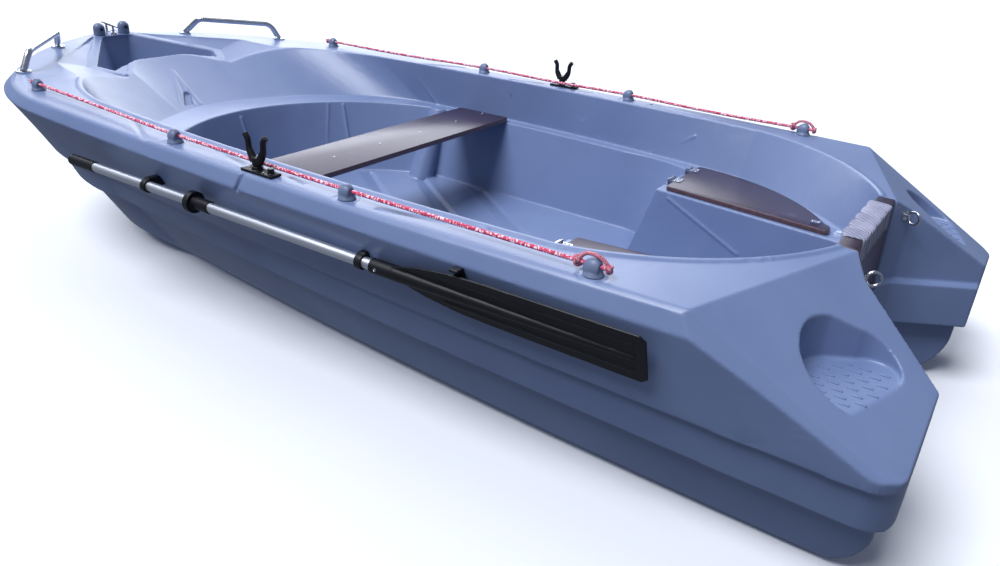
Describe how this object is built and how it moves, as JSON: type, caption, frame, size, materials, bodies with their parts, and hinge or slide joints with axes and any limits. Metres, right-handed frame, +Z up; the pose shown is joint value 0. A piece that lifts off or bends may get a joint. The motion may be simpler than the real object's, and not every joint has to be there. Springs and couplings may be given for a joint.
{
  "type": "small fishing dinghy",
  "caption": "Moulded plastic fishing dinghy with twin side keels, stern pontoons around a motor well, box seats with lids, rowlocks and stowed oars.",
  "frame": {"origin": "centre of the boat on the floor under the keels", "axes": "+X to the bow, +Y to port, +Z up"},
  "size_m": [3.5993, 1.705, 0.683],
  "materials": {
    "hull_plastic": "moulded satin",
    "plywood": "film faced",
    "pad_rope": "wound rope",
    "moulded_fittings": "satin",
    "red_rope": "braided, flecked",
    "oar_aluminium": "anodised",
    "black_plastic": "satin",
    "stainless": "polished"
  },
  "bodies": {
    "boat": {"bow_cleat": "stainless", "bow_handle_port": "stainless", "bow_handle_starboard": "stainless", "fairlead_posts": "moulded_fittings", "hinge_brackets_port": "stainless", "hinge_brackets_starboard": "stainless", "hull": "hull_plastic", "lifeline_eyes_port": "moulded_fittings", "lifeline_eyes_starboard": "moulded_fittings", "lifeline_port": "red_rope", "lifeline_starboard": "red_rope", "oar_blade_port": "black_plastic", "oar_blade_starboard": "black_plastic", "oar_clips_port": "black_plastic", "oar_clips_starboard": "black_plastic", "oar_collar_port": "black_plastic", "oar_collar_starboard": "black_plastic", "oar_grip_port": "black_plastic", "oar_grip_starboard": "black_plastic", "oar_shaft_port": "oar_aluminium", "oar_shaft_starboard": "oar_aluminium", "rowlock_base_port": "black_plastic", "rowlock_base_starboard": "black_plastic", "thwart": "plywood", "towing_eye_port": "stainless", "towing_eye_starboard": "stainless", "transom_board": "plywood", "transom_pad": "pad_rope"},
    "lid_port": {"lid_catch_port": "stainless", "lid_hinges_port": "stainless", "seat_lid_port": "plywood"},
    "rowlock_port": {"rowlock_port": "black_plastic"},
    "lid_starboard": {"lid_catch_starboard": "stainless", "lid_hinges_starboard": "stainless", "seat_lid_starboard": "plywood"},
    "rowlock_starboard": {"rowlock_starboard": "black_plastic"}
  },
  "joints": [
    {"name": "lid_port_hinge", "type": "hinge", "parent": "boat", "child": "lid_port", "pos_m": [-0.856, 0.445, 0.435], "axis": [0, 1, 0], "range_deg": [0, 100]},
    {"name": "rowlock_port_pivot", "type": "hinge", "parent": "boat", "child": "rowlock_port", "pos_m": [-0.171, 0.777, 0.58], "axis": [0, 0, 1], "continuous": true},
    {"name": "lid_starboard_hinge", "type": "hinge", "parent": "boat", "child": "lid_starboard", "pos_m": [-0.856, -0.445, 0.435], "axis": [0, 1, 0], "range_deg": [0, 100]},
    {"name": "rowlock_starboard_pivot", "type": "hinge", "parent": "boat", "child": "rowlock_starboard", "pos_m": [-0.171, -0.777, 0.58], "axis": [0, 0, 1], "continuous": true}
  ]
}
